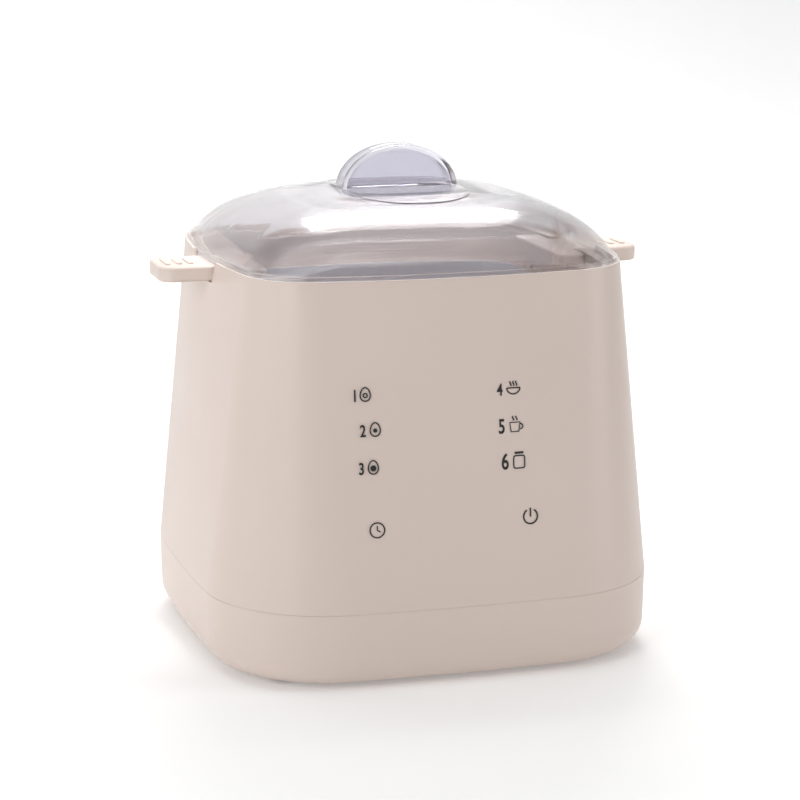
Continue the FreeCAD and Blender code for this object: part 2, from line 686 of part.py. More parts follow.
def make_transformer():
    """A core with the winding between its legs."""
    z = BOARD_Z + BOARD[2]
    core = box(TRANSFORMER, on_board(4, -6), z)
    window = box((TRANSFORMER[0] - 10, TRANSFORMER[1], TRANSFORMER[2] - 8), on_board(4, -6), z + 4)
    winding = cylinder(TRANSFORMER[2] / 2 - 0.2, TRANSFORMER[1] + 4,
                       V(4, BOARD_Y - 6 - TRANSFORMER[1] / 2 - 2, z + TRANSFORMER[2] / 2), BACK)
    return one_solid(core.cut(window).fuse(winding))


def make_electrolytic_capacitor():
    x, y = on_board(32, -12)
    can = cylinder(CAN_R, CAN_HEIGHT, V(x, y, BOARD_Z + BOARD[2]))
    return can.makeFillet(0.8, edges_where(can, flat_at(BOARD_Z + BOARD[2] + CAN_HEIGHT)))


def make_film_capacitor():
    case = box(FILM_CAP, on_board(-30, 16), BOARD_Z + BOARD[2])
    return case.makeFillet(0.8, edges_where(case, lambda b: b.ZLength > 1))


def make_board_terminals():
    """Three flat terminals and a pin header on the power board."""
    z = BOARD_Z + BOARD[2]
    blades = [box((BLADE[1], BLADE[0], BLADE[2]), on_board(x, 20), z) for x in (0, 12, 24)]
    header = box((12, 6, 7), on_board(32, 8), z)
    header = header.cut(box((10, 4, 6), on_board(32, 8), z + 1.5))
    return Part.makeCompound(blades + [header])


def inlet_profile(width, height, chamfer, y):
    """The inlet's cavity outline: a rectangle with its two upper corners cut off."""
    x, z = width / 2, height / 2
    points = [V(-x, y, INLET_Z - z), V(x, y, INLET_Z - z), V(x, y, INLET_Z + z - chamfer),
              V(x - chamfer, y, INLET_Z + z), V(-x + chamfer, y, INLET_Z + z),
              V(-x, y, INLET_Z + z - chamfer)]
    return Part.Face(Part.makePolygon(points + points[:1]))


def make_power_inlet():
    """A three-pin appliance inlet, held by its flange in the back wall."""
    face_y = INLET_SEAT_Y + INLET_FLANGE[2]
    flange = box((INLET_FLANGE[0], INLET_FLANGE[2], INLET_FLANGE[1]),
                 (0, INLET_SEAT_Y + INLET_FLANGE[2] / 2), INLET_Z - INLET_FLANGE[1] / 2)
    flange = flange.makeFillet(2.0, edges_where(flange, lambda b: b.YLength > 1 and b.XLength < 1
                                                and b.ZLength < 1))
    body = box((INLET_BODY[0], INLET_BODY[2], INLET_BODY[1]),
               (0, INLET_SEAT_Y - INLET_BODY[2] / 2), INLET_Z - INLET_BODY[1] / 2)
    cavity = inlet_profile(INLET_CAVITY[0], INLET_CAVITY[1], INLET_CHAMFER,
                           face_y - INLET_CAVITY[2]).extrude(V(0, INLET_CAVITY[2], 0))
    slots = [pin_block(x, z, 0.05) for x, z in pin_places()]
    return one_solid(flange.fuse(body).cut([cavity] + slots))


def pin_places():
    return [(-PIN_SPREAD, -PIN_RISE), (PIN_SPREAD, -PIN_RISE), (0, PIN_RISE)]


def pin_block(x, z, grow=0.0):
    """One flat pin from behind the inlet to just inside its mouth."""
    start = INLET_SEAT_Y + INLET_FLANGE[2] - 2 - PIN[2]
    size = (PIN[0] + 2 * grow, PIN[2] + 6, PIN[1] + 2 * grow)
    return box(size, (x, start + PIN[2] / 2 - 3), INLET_Z + z - size[2] / 2)


def make_inlet_pins():
    return Part.makeCompound([pin_block(x, z) for x, z in pin_places()])


def front_frame(shape):
    """Moves a shape from the upright frame of the front wall to its place.

    In that frame x runs along the wall, y is the depth behind the wall's inner face
    and z runs up the wall from CONTROL_MID_Z."""
    shape.rotate(V(0, 0, 0), RIGHT, -WALL_LEAN)
    half = inset(shell_outline(CONTROL_MID_Z), WALL).half
    shape.translate(V(0, -half, CONTROL_MID_Z))
    return shape


def wall_bow(x, z):
    """How far the front wall has curved back at a distance x from its middle."""
    return x ** 2 / (2 * inset(shell_outline(z), WALL).side_r)


def control_bosses(skin):
    """Posts on the shell's front wall that carry the control board."""
    bosses = []
    for x, z in four_corners(CONTROL_HOLE[0] / 2, CONTROL_HOLE[1] / 2):
        boss = cylinder(CONTROL_BOSS_R, CONTROL_STANDOFF + 2, V(x, -2, z), BACK)
        bosses.append(front_frame(boss).common(skin))
    return bosses


def control_screw_holes():
    return [front_frame(cylinder(SMALL_SCREW_R + 0.05, CONTROL_STANDOFF - 2.6, V(x, 2.6, z), BACK))
            for x, z in four_corners(CONTROL_HOLE[0] / 2, CONTROL_HOLE[1] / 2)]


def make_control_board():
    board = Part.makeBox(CONTROL[0], CONTROL[2], CONTROL[1],
                         V(-CONTROL[0] / 2, CONTROL_STANDOFF, -CONTROL[1] / 2))
    holes = [cylinder(SMALL_SCREW_R + 0.3, CONTROL[2], V(x, CONTROL_STANDOFF, z), BACK)
             for x, z in four_corners(CONTROL_HOLE[0] / 2, CONTROL_HOLE[1] / 2)]
    return front_frame(one_solid(board.cut(holes)))


def make_control_screws():
    seat = CONTROL_STANDOFF + CONTROL[2]
    front = V(0, -1, 0)
    return Part.makeCompound([
        front_frame(screw(V(x, seat, z), SMALL_SCREW_R, 4.2, SMALL_HEAD_R, SMALL_HEAD, front))
        for x, z in four_corners(CONTROL_HOLE[0] / 2, CONTROL_HOLE[1] / 2)])


def make_touch_pads():
    """Conductive plugs between the board and the wall, one behind each touch key."""
    pads = []
    for level in KEY_ROWS:
        for x in (-KEY_X, KEY_X):
            front = wall_bow(KEY_X + KEY_R, level) + PAD_GAP
            z = (level - CONTROL_MID_Z) / math.cos(math.radians(WALL_LEAN))
            pad = cylinder(KEY_R, CONTROL_STANDOFF - front, V(x, front, z), BACK)
            pads.append(front_frame(pad))
    return Part.makeCompound(pads)


def make_display_module():
    z = DISPLAY_Z - CONTROL_MID_Z
    block = Part.makeBox(DISPLAY[0], DISPLAY[2], DISPLAY[1],
                         V(-DISPLAY[0] / 2, CONTROL_STANDOFF - DISPLAY[2], z - DISPLAY[1] / 2))
    return front_frame(block.makeFillet(0.6, edges_where(block, lambda b: b.YLength > 1)))


def strap_x(z):
    """Outer face of the right strap at height z: it leans in towards the plate."""
    return STRAP_FACE_X - STRAP_LEAN * (HANDLE_Z - z) / (HANDLE_Z - PLATE_Z)


def make_handle():
    """The right handle: grip outside the rim, root under the lid, strap down to the plate."""
    stub_start = ROOT_INNER_X + STUB_OVERLAP
    stub = Part.makeBox(HANDLE_TIP_X - stub_start, HANDLE_WIDTH, HANDLE_THICK,
                        V(stub_start, -HANDLE_WIDTH / 2, HANDLE_Z))
    stub = stub.makeFillet(HANDLE_CORNER, edges_where(
        stub, lambda b: b.ZLength > 1 and b.XMin > HANDLE_TIP_X - 1))
    outside = RIM.half + 1
    stub = stub.makeFillet(HANDLE_EDGE, edges_where(
        stub, lambda b: b.ZLength < 1e-3 and b.XMax > outside))
    root_outer = inset(RIM, COLLAR_INSET).half - ROOT_GAP - ROOT_END_GAP
    root = rounded_face(root_outer - ROOT_INNER_X, ROOT_LENGTH, ROOT_CORNER,
                        HANDLE_TOP_Z - ROOT_THICK)
    root = root.extrude(V(0, 0, ROOT_THICK))
    root.translate(V((root_outer + ROOT_INNER_X) / 2, 0, 0))
    root = root.makeFillet(ROOT_EDGE, edges_where(root, flat_at(HANDLE_TOP_Z)))
    strap = strap_block()
    ribs = [handle_rib(FIRST_RIB_X + i * RIB_PITCH) for i in range(RIB_COUNT)]
    handle = stub.fuse([root, strap] + ribs)
    holes = [cylinder(RACK_SCREW_R + 0.05, 30, V(STRAP_FACE_X - 15, y, tab_screw_z()), RIGHT)
             for y in rack_screw_ys()]
    return one_solid(handle.cut(holes))


def tab_screw_z():
    return PLATE_Z + TAB_HEIGHT - 6


def strap_block():
    """The upright strap, with slots that let steam and water through."""
    low, high = PLATE_Z + 2, HANDLE_TOP_Z - 1
    half = STRAP_WIDTH / 2
    points = []
    for z, x in ((low, strap_x(low)), (high, strap_x(high))):
        points.append((V(x - STRAP_THICK, -half, z), V(x, -half, z)))
    (a, b), (c, d) = points
    strap = Part.Face(Part.makePolygon([a, b, d, c, a])).extrude(V(0, STRAP_WIDTH, 0))
    strap = strap.makeFillet(STRAP_CORNER, edges_where(
        strap, lambda b: b.XLength > 1 and flat_at(low)(b)))
    slots = []
    pitch = STRAP_WIDTH / STRAP_SLOTS
    for i in range(STRAP_SLOTS):
        y = (i - (STRAP_SLOTS - 1) / 2) * pitch
        slot = rounded_plate(STRAP_SLOT[1], STRAP_SLOT[0], STRAP_SLOT[0] / 2 - 0.01, 0, 12)
        slot.rotate(V(0, 0, 0), BACK, 90)
        slot.translate(V(STRAP_FACE_X - 8, y, PLATE_Z + TAB_HEIGHT + 4 + STRAP_SLOT[1] / 2))
        slots.append(slot)
    return strap.cut(slots)


def handle_rib(x):
    """A low rounded rib across the top of the handle."""
    reach = HANDLE_TIP_X - HANDLE_CORNER
    past = max(0.0, x + RIB_WIDTH / 2 - reach)
    inner = HANDLE_CORNER - HANDLE_EDGE
    cut_back = inner - math.sqrt(max(inner ** 2 - past ** 2, 0.0))
    length = min(RIB_LENGTH, HANDLE_WIDTH - 2 * (HANDLE_EDGE + cut_back) - 2)
    rib = rounded_plate(RIB_WIDTH, length, RIB_WIDTH / 2 - 0.01, HANDLE_TOP_Z - 0.3, RIB_HEIGHT + 0.3)
    top = HANDLE_TOP_Z + RIB_HEIGHT
    rib = rib.makeFillet(0.4, edges_where(rib, flat_at(top)))
    rib.translate(V(x, 0, 0))
    return rib


def make_right_handle():
    return make_handle()


def make_left_handle():
    handle = make_handle()
    handle.rotate(V(0, 0, 0), UP, 180)
    return handle


def egg_places():
    """One egg hole in the middle and six round it."""
    ring_places = [(EGG_PITCH * math.sin(math.radians(60 * i)),
                    EGG_PITCH * math.cos(math.radians(60 * i))) for i in range(6)]
    return [(0.0, 0.0)] + ring_places


def plate_half_x():
    """The plate reaches the inner faces of the two straps' lower ends."""
    return strap_x(PLATE_Z) - STRAP_THICK


def make_egg_plate():
    """A pressed steel plate with seven egg holes and six steam holes."""
    plate = prism(inset(RIM, PLATE_INSET), PLATE_UNDER_Z, PLATE_SHEET)
    plate = plate.common(box((2 * plate_half_x(), 2 * RIM.half, PLATE_SHEET), (0, 0), PLATE_UNDER_Z))
    lips, cuts = [], []
    for x, y in egg_places():
        at = V(x, y, PLATE_UNDER_Z - EGG_LIP)
        lips.append(cylinder(EGG_HOLE_R + EGG_LIP_WALL, EGG_LIP, at))
        cuts.append(cylinder(EGG_HOLE_R, EGG_LIP + 2 * PLATE_SHEET, at))
    for i in range(6):
        turn = math.radians(60 * i + 30)
        at = V(STEAM_RING_R * math.sin(turn), STEAM_RING_R * math.cos(turn), PLATE_UNDER_Z)
        cuts.append(cylinder(STEAM_HOLE_R, PLATE_SHEET, at))
    for x, y in rivet_places():
        cuts.append(cylinder(RIVET_R + 0.05, PLATE_SHEET, V(x, y, PLATE_UNDER_Z)))
    return one_solid(plate.fuse(lips).cut(cuts))


def tab_inner_x(z):
    """Inner face of the right bracket's upright part, which lies against the strap."""
    return strap_x(z) - STRAP_THICK - PLATE_SHEET


def rivet_places():
    x = tab_inner_x(PLATE_Z) - TONGUE[0] / 2
    return [(x, 0.0), (-x, 0.0)]


def make_rack_brackets():
    """Two sheet brackets: an upright tab against each strap and a tongue on the plate."""
    low, high = PLATE_Z, PLATE_Z + TAB_HEIGHT
    half = STRAP_WIDTH / 2 - TAB_INSET
    points = [V(tab_inner_x(low), -half, low), V(tab_inner_x(low) + PLATE_SHEET, -half, low),
              V(tab_inner_x(high) + PLATE_SHEET, -half, high), V(tab_inner_x(high), -half, high)]
    tab = Part.Face(Part.makePolygon(points + points[:1])).extrude(V(0, 2 * half, 0))
    tab = tab.makeFillet(4.0, edges_where(tab, lambda b: b.XLength > 0.5 and flat_at(high)(b)))
    tongue = Part.makeBox(TONGUE[0] + PLATE_SHEET / 2, TONGUE[1], PLATE_SHEET,
                          V(tab_inner_x(low) - TONGUE[0], -TONGUE[1] / 2, low))
    holes = [cylinder(RIVET_R + 0.05, PLATE_SHEET, V(rivet_places()[0][0], 0, low))]
    for y in rack_screw_ys():
        holes.append(cylinder(RACK_SCREW_R + 0.05, 4 * PLATE_SHEET,
                              V(tab_inner_x(low) - PLATE_SHEET, y, tab_screw_z()), RIGHT))
    bracket = one_solid(tab.fuse(tongue).cut(holes))
    other = bracket.copy()
    other.rotate(V(0, 0, 0), UP, 180)
    return Part.makeCompound([bracket, other])


def make_bracket_rivets():
    """A rivet through each tongue and the plate."""
    low, high = PLATE_UNDER_Z, PLATE_Z + PLATE_SHEET
    rivets = []
    for x, y in rivet_places():
        shank = cylinder(RIVET_R, high - low, V(x, y, low))
        heads = [cylinder(RIVET_HEAD_R, RIVET_HEAD, V(x, y, z)) for z in (high, low - RIVET_HEAD)]
        rivets.append(one_solid(shank.fuse(heads)))
    return Part.makeCompound(rivets)


def rack_screw_ys():
    return (-RACK_SCREW_SPREAD / 2, RACK_SCREW_SPREAD / 2)


def make_rack_screws():
    """Two screws on each side, heads inside, that hold the brackets to the straps."""
    solids = []
    head_x = tab_inner_x(tab_screw_z()) - 0.15
    for side in (-1, 1):
        for y in rack_screw_ys():
            solids.append(screw(V(side * head_x, y, tab_screw_z()), RACK_SCREW_R,
                                STRAP_THICK + PLATE_SHEET, 2.8, 1.6, V(side, 0, 0)))
    return Part.makeCompound(solids)


def dome_level(share, shrink=0.0, rise=0.0):
    """Outline and height of the dome at a share of its height."""
    width = (1 - share ** DOME_POWER) ** (1 / DOME_POWER)
    mix = min(1.0, max(0.0, share - EDGE_SHARE) / (BLEND_SHARE - EDGE_SHARE))
    bent = Outline(*(edge + (top - edge) * mix for edge, top in zip(EDGE, DOME)))
    outline = scaled(inset(bent, shrink), width)
    return outline, DOME_Z + share * (DOME_HEIGHT - shrink + rise)


def dome(shares, shrink=0.0, rise=0.0):
    return loft([dome_level(share, shrink, rise) for share in shares], ruled=False)


def grip_face(shrink, y):
    """The grip's D-shaped outline on the plane at this y: half an ellipse on two short legs."""
    half = GRIP_HALF - shrink
    rise = GRIP_TOP_Z - GRIP_FOOT_Z - shrink
    arch = Part.Ellipse(V(0, 0, 0), half, rise).toShape(0, math.pi)
    legs = Part.makePolygon([V(-half, 0, 0), V(-half, -GRIP_LEG, 0), V(half, -GRIP_LEG, 0),
                             V(half, 0, 0)])
    face = Part.Face(Part.Wire([arch] + legs.Edges))
    face.rotate(V(0, 0, 0), RIGHT, 90)
    face.translate(V(0, y, GRIP_FOOT_Z))
    return face


def grip_block(shrink, thick):
    return grip_face(shrink, -thick / 2).extrude(V(0, thick, 0))


def make_lid():
    """The clear lid in one piece: dome, bead, raised oval seat, hollow grip, steam vents."""
    outer = dome(DOME_STEPS)
    inner = dome((0.0,) + DOME_STEPS, shrink=LID_WALL)
    seat = dome(DOME_STEPS, rise=SEAT_RISE).common(
        rounded_plate(SEAT_WIDTH, SEAT_LENGTH, SEAT_CORNER, DOME_Z + DOME_HEIGHT * 0.7, 30))
    grip = grip_block(0, GRIP_THICK)
    grip = grip.makeFillet(GRIP_EDGE, edges_where(grip, lambda b: b.YLength < 1e-3 and
                                            b.ZMax > GRIP_FOOT_Z + 5 and b.ZLength > 6
                                            and b.XLength > 10))
    pocket = grip_block(GRIP_BORDER, GRIP_POCKET)
    above_seat = box((4 * GRIP_HALF, 2 * GRIP_THICK, GRIP_TOP_Z), (0, 0),
                     DOME_Z + DOME_HEIGHT + SEAT_RISE + POCKET_RISE)
    pockets = []
    for side in (-1, 1):
        cut = pocket.copy()
        cut.translate(V(0, side * (GRIP_THICK - GRIP_POCKET) / 2, 0))
        pockets.append(cut.common(above_seat))
    hollow = grip_block(LID_WALL, GRIP_THICK - 2 * LID_WALL)
    bead = prism(inset(RIM, BEAD_INSET), RIM_Z + BEAD_GAP, BEAD_HEIGHT)
    bead = bead.makeFillet(BEAD_EDGE, edges_where(bead, flat_at(RIM_Z + BEAD_GAP + BEAD_HEIGHT)))
    lid = outer.fuse([bead, seat, grip.cut(pockets)]).cut([inner, hollow])
    lid = lid.cut(box((4 * RIM.half, 4 * RIM.half, LID_Z), (0, 0), 0))
    vents = [cylinder(VENT_R, DOME_HEIGHT, V(x, VENT_Y, LID_Z + LID_WALL))
             for x in (-VENT_SPREAD, VENT_SPREAD)]
    return one_solid(lid.cut(vents))


PIECES = {
    "base_tub": make_base_tub,
    "outer_shell": make_outer_shell,
    "inner_collar": make_inner_collar,
    "pan_gasket": make_pan_gasket,
    "steel_pan": make_steel_pan,
    "heating_plate": make_heating_plate,
    "heater_tube": make_heater_tube,
    "heat_shield": make_heat_shield,
    "shield_spacers": make_shield_spacers,
    "shield_nuts": make_shield_nuts,
    "thermostat": make_thermostat,
    "thermal_fuse": make_thermal_fuse,
    "fuse_clip": make_fuse_clip,
    "temperature_sensor": make_temperature_sensor,
    "rubber_feet": make_rubber_feet,
    "base_screws": make_base_screws,
    "power_board": make_power_board,
    "board_screws": make_board_screws,
    "relay": make_relay,
    "transformer": make_transformer,
    "electrolytic_capacitor": make_electrolytic_capacitor,
    "film_capacitor": make_film_capacitor,
    "board_terminals": make_board_terminals,
    "power_inlet": make_power_inlet,
    "inlet_pins": make_inlet_pins,
    "control_board": make_control_board,
    "control_screws": make_control_screws,
    "touch_pads": make_touch_pads,
    "display_module": make_display_module,
    "right_handle": make_right_handle,
    "left_handle": make_left_handle,
    "egg_plate": make_egg_plate,
    "rack_brackets": make_rack_brackets,
    "bracket_rivets": make_bracket_rivets,
    "rack_screws": make_rack_screws,
    "lid": make_lid,
}


def main():
    os.makedirs("parts", exist_ok=True)
    for name, make in PIECES.items():
        shape = make()
        solids = shape.Solids
        print(f"{name}: {len(solids)} solid(s), {sum(s.Volume for s in solids) / 1000:.2f} cm3,"
              f" valid {shape.isValid()}")
        shape.exportStep(f"parts/{name}.step")


main()
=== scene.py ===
import json
import math
from collections import namedtuple

import bmesh
import bpy
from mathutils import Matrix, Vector


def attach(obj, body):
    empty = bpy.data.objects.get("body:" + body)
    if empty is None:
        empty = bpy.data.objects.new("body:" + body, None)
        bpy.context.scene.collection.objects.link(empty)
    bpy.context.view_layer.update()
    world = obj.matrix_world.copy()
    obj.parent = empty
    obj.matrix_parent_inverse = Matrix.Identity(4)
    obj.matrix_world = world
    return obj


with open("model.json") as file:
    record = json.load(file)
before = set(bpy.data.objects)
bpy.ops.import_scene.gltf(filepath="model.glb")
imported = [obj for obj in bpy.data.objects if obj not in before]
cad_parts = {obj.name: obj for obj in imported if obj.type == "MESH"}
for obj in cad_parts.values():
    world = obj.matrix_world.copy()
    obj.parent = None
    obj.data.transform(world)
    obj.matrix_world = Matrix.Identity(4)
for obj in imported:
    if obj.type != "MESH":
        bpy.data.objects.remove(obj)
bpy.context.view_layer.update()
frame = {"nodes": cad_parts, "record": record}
NODES = frame["nodes"]
MM = 0.001

# A rounded square: half its width, the radius of its bowed sides and of its corners.
Outline = namedtuple("Outline", "half side_r corner_r")

# Camera, fitted to the photograph: angles in degrees, lengths in millimetres.
CAM_AZIMUTH = -16.65
CAM_ELEVATION = 12.11
CAM_DISTANCE = 1103.1
CAM_TARGET = (1.48, 0.0, 92.2)
CAM_FOCAL = 122.75
CAM_SENSOR = 36.0

# Housing, in millimetres
SEAM_Z = 31.0
RIM_Z = 155.0
SEAM = Outline(90.0, 834.0, 48.7)
RIM = Outline(79.0, 320.0, 28.0)

# Lip in the groove below the seam, in millimetres
LIP_DEPTH = 0.1            # from the wall's face back to the lip's
LIP_THICK = 0.3
LIP_LOW_Z = SEAM_Z - 0.38
LIP_HIGH_Z = SEAM_Z - 0.02

# Printed labels, in millimetres or as shares of a number's height
INK_PROUD = 0.04           # the print stands this far off the wall
LINE = 0.5
BOLD_LINE = 1.2 * LINE
LABEL_GAP = 1.6            # between a number and its sign
SIGN_SHARE = 1.15
CAP_SHARE = 0.7            # height of a digit in the font's own size
NUMBER_BOLD = 0.028
NUMBER_SQUEEZE = 0.72      # width of a digit over the font's own

# Clear plastic: heights in millimetres between which its tint and its body change. The tint
# darkens from the wall's foot up to the crown and the grip: painted shade on top of the plastic's
# own slight tint.
# The body is the share of the light that the plastic bends; the rest goes straight through.
CLEAR_TO_Z = 167.0
CROWN_Z = 172.5
GRIP_FOOT_Z = 179.2
GRIP_BLEND = 1.0
# Towards the sides the lid counts as higher, so the painted shade of the crown reaches down its
# shoulders.
SIDE_START_X = 45.0        # beyond this the height counts as more
SIDE_LIFT = 0.35           # by this much for each millimetre
BEAD_TOP_Z = 156.7
WALL_TINT = (0.92, 0.85, 0.84, 1.0)
# The crown's and the grip's tints are darker than the wall's: painted shade over the plastic's
# own slight tint.
CROWN_TINT_AND_SHADE = (0.64, 0.61, 0.65, 1.0)
GRIP_TINT_AND_SHADE = (0.75, 0.74, 0.80, 1.0)
WALL_BODY = 0.25
EDGE_BODY = 0.5
CROWN_BODY = 0.8
GRIP_BODY = 1.0
LID_IOR = 1.25
LID_COAT = 0.7
LID_COAT_ROUGH = 0.28

# Metal: the darkest line's colour over the lightest one's
METAL_DARK = 0.86

# Stage, in metres: a floor that sweeps up into a back wall
FLOOR_FRONT_Y = -6.0
SWEEP_START_Y = 1.2
SWEEP_R = 0.8
SWEEP_STEPS = 12
STAGE_TOP_Z = 4.0
STAGE_HALF_WIDTH = 4.0
STAGE_GREY = 0.93
STAGE_GLOW = 0.16
WORLD_STRENGTH = 0.15

# Area lights: name, place, aim, size in metres, power in watts, spread in degrees
LIGHTS = [("key", (-1.3, -1.1, 0.6), (0, 0, 0.09), (0.6, 1.4), 11.6, 180),
          ("left", (-1.75, -0.3, 0.5), (0, 0, 0.09), (0.6, 1.2), 5.4, 180),
          ("right", (1.5, -0.8, 0.5), (0, 0, 0.09), (0.6, 1.2), 9.4, 180),
          ("ceiling", (0.0, 0.0, 2.2), (0, 0, 0.1), (2.6, 2.6), 18.0, 180),
          ("rear", (0.33, 1.12, 1.15), (0, 0, 0.17), (0.6, 0.45), 7.5, 180),
          ("wash", (0.0, 0.9, 2.6), (0, 2.0, 1.2), (3.0, 0.6), 14.0, 180),
          ("inner", (0.0, -0.075, 0.42), (0, 0.06, 0.13), (0.16, 0.06), 0.19, 45)]


# Materials

def new_material(name):
    """A material with its node tree and its shader."""
    mat = bpy.data.materials.new(name)
    mat.use_nodes = True
    nodes = mat.node_tree.nodes
    shader = next(n for n in nodes if n.type == "BSDF_PRINCIPLED")
    return mat, mat.node_tree, shader


def noise(tree, scale, detail=3.0, roughness=0.5, stretch=None):
    """The factor of a noise texture on object coordinates, in features per metre."""
    coords = tree.nodes.new("ShaderNodeTexCoord")
    tex = tree.nodes.new("ShaderNodeTexNoise")
    tex.inputs["Scale"].default_value = scale
    tex.inputs["Detail"].default_value = detail
    tex.inputs["Roughness"].default_value = roughness
    if stretch:
        mapping = tree.nodes.new("ShaderNodeMapping")
        mapping.inputs["Scale"].default_value = stretch
        tree.links.new(coords.outputs["Object"], mapping.inputs["Vector"])
        tree.links.new(mapping.outputs["Vector"], tex.inputs["Vector"])
    else:
        tree.links.new(coords.outputs["Object"], tex.inputs["Vector"])
    return tex.outputs["Fac"]


def ramp(tree, source, stops):
    """The colour of a ramp fed by a socket; stops are (position, colour)."""
    node = tree.nodes.new("ShaderNodeValToRGB")
    tree.links.new(source, node.inputs["Fac"])
    elements = node.color_ramp.elements
    elements[0].position, elements[0].color = stops[0]
    elements[1].position, elements[1].color = stops[-1]
    for position, color in stops[1:-1]:
        element = elements.new(position)
        element.color = color
    return node.outputs["Color"]


def grey(value):
    return (value, value, value, 1.0)


def vary(tree, socket, source, low, high, margin=0.2):
    """Feeds a shader's socket from low to high as a noise goes up."""
    tree.links.new(ramp(tree, source, [(margin, low), (1 - margin, high)]), socket)


def bump(tree, shader, height, strength, distance):
    """A bump of the shader's normal, with its distance in metres."""
    node = tree.nodes.new("ShaderNodeBump")
    node.inputs["Strength"].default_value = strength
    node.inputs["Distance"].default_value = distance
    tree.links.new(height, node.inputs["Height"])
    tree.links.new(node.outputs["Normal"], shader.inputs["Normal"])


def math_node(tree, operation, first, second=None):
    """A math node on a socket and, where the operation takes one, a socket or a number."""
    node = tree.nodes.new("ShaderNodeMath")
    node.operation = operation
    tree.links.new(first, node.inputs[0])
    if isinstance(second, float):
        node.inputs[1].default_value = second
    elif second is not None:
        tree.links.new(second, node.inputs[1])
    return node.outputs[0]


def moulded(name, low, high, rough=(0.30, 0.40), grain=0.05, specular=0.5):
    """Injection-moulded plastic: slight colour drift, uneven gloss and a fine grain."""
    mat, tree, shader = new_material(name)
    drift = noise(tree, scale=14.0, detail=1.0, roughness=0.4)
    vary(tree, shader.inputs["Base Color"], drift, (*low, 1.0), (*high, 1.0))
    gloss = noise(tree, scale=30.0, detail=1.0, roughness=0.4)
    vary(tree, shader.inputs["Roughness"], gloss, grey(rough[0]), grey(rough[1]))
    fine = noise(tree, scale=1600.0, detail=1.0, roughness=0.5)
    bump(tree, shader, fine, strength=grain, distance=0.0001)
    shader.inputs["Specular IOR Level"].default_value = specular
    return mat


def metal(name, color, rough=(0.22, 0.34), scratch=(1.0, 1.0, 40.0), bump_strength=0.12):
    """Metal with a directional finish: drawn or brushed lines along the stretched axis."""
    mat, tree, shader = new_material(name)
    shader.inputs["Metallic"].default_value = 1.0
    lines = noise(tree, scale=220.0, detail=4.0, roughness=0.6, stretch=scratch)
    dark = tuple(c * METAL_DARK for c in color)
    vary(tree, shader.inputs["Base Color"], lines, (*dark, 1.0), (*color, 1.0), margin=0.25)
    vary(tree, shader.inputs["Roughness"], lines, grey(rough[0]), grey(rough[1]), margin=0.25)
    bump(tree, shader, lines, strength=bump_strength, distance=0.0002)
    return mat


def object_axes(tree):
    """The sockets X, Y and Z of the object's own coordinates, in metres."""
    coords = tree.nodes.new("ShaderNodeTexCoord")
    split = tree.nodes.new("ShaderNodeSeparateXYZ")
    tree.links.new(coords.outputs["Object"], split.inputs[0])
    return split.outputs


def by_height(tree, stops):
    """A colour ramp over the lid's height, which counts as more towards its two sides."""
    axes = object_axes(tree)
    aside = math_node(tree, "ABSOLUTE", axes["X"])
    beyond = math_node(tree, "SUBTRACT", aside, SIDE_START_X * MM)
    lift = math_node(tree, "MULTIPLY", math_node(tree, "MAXIMUM", beyond, 0.0), SIDE_LIFT)
    height = tree.nodes.new("ShaderNodeMapRange")
    low, high = stops[0][0], stops[-1][0]
    height.inputs["From Min"].default_value = low * MM
    height.inputs["From Max"].default_value = high * MM
    tree.links.new(math_node(tree, "ADD", axes["Z"], lift), height.inputs["Value"])
    return ramp(tree, height.outputs["Result"],
                [((z - low) / (high - low), color) for z, color in stops])


def edge_body(tree):
    """The body of the thick bead round the lid's edge, and none above it."""
    below = math_node(tree, "LESS_THAN", object_axes(tree)["Z"], BEAD_TOP_Z * MM)
    return math_node(tree, "MULTIPLY", below, EDGE_BODY)


def clear_plastic():
    """Clear moulded plastic: clearest at the wall's foot, darker in the crown and the grip, where
    the tint carries painted shade over the plastic's own slight tint.
    """
    mat, tree, shader = new_material("clear_plastic")
    # Painted shade: the tint darkens with height and towards the sides.
    tint_and_shade = by_height(tree, [(CLEAR_TO_Z, WALL_TINT), (CROWN_Z, CROWN_TINT_AND_SHADE),
                            (GRIP_FOOT_Z - GRIP_BLEND, CROWN_TINT_AND_SHADE), (GRIP_FOOT_Z, GRIP_TINT_AND_SHADE)])
    tree.links.new(tint_and_shade, shader.inputs["Base Color"])
    body = by_height(tree, [(CLEAR_TO_Z, grey(WALL_BODY)), (CROWN_Z, grey(CROWN_BODY)),
                            (GRIP_FOOT_Z, grey(GRIP_BODY))])
    tree.links.new(math_node(tree, "MAXIMUM", body, edge_body(tree)), shader.inputs["Alpha"])
    shader.inputs["Transmission Weight"].default_value = 1.0
    shader.inputs["IOR"].default_value = LID_IOR
    shader.inputs["Coat Weight"].default_value = LID_COAT
    shader.inputs["Coat Roughness"].default_value = LID_COAT_ROUGH
    flow = noise(tree, scale=30.0, detail=3.0, roughness=0.5)
    vary(tree, shader.inputs["Roughness"], flow, grey(0.01), grey(0.03), margin=0.3)
    ripple = noise(tree, scale=45.0, detail=2.0, roughness=0.4)
    bump(tree, shader, ripple, strength=0.04, distance=0.002)
    return mat


def printed_ink():
    """Near-black ink with a slight unevenness."""
    mat, tree, shader = new_material("printed_ink")
    shade = noise(tree, scale=900.0, detail=2.0, roughness=0.5)
    vary(tree, shader.inputs["Base Color"], shade, (0.008, 0.008, 0.009, 1.0),
         (0.018, 0.017, 0.018, 1.0), margin=0.3)
    shader.inputs["Roughness"].default_value = 0.45
    return mat


